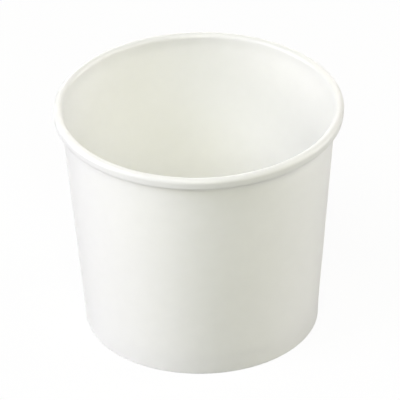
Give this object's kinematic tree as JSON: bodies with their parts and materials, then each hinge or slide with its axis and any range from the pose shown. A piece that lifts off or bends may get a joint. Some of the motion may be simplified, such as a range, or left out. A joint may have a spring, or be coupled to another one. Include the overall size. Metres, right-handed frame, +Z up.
{
  "type": "soup cup",
  "caption": "Round paper soup cup: leaning wall with a lapped side seam and a rolled rim, and a recessed bottom clamped in the folded foot.",
  "frame": {"origin": "centre of the foot, on the plane that the cup stands on", "axes": "+Z up along the cup's axis, from the foot to the rim; the side seam lies near -X"},
  "size_m": [0.1151, 0.115, 0.097],
  "materials": {
    "wall_board": "white coated board with a soft satin sheen",
    "bottom_board": "white coated board with a soft satin sheen"
  },
  "bodies": {
    "root": {"side_wall": "wall_board", "bottom_disc": "bottom_board"}
  },
  "joints": []
}
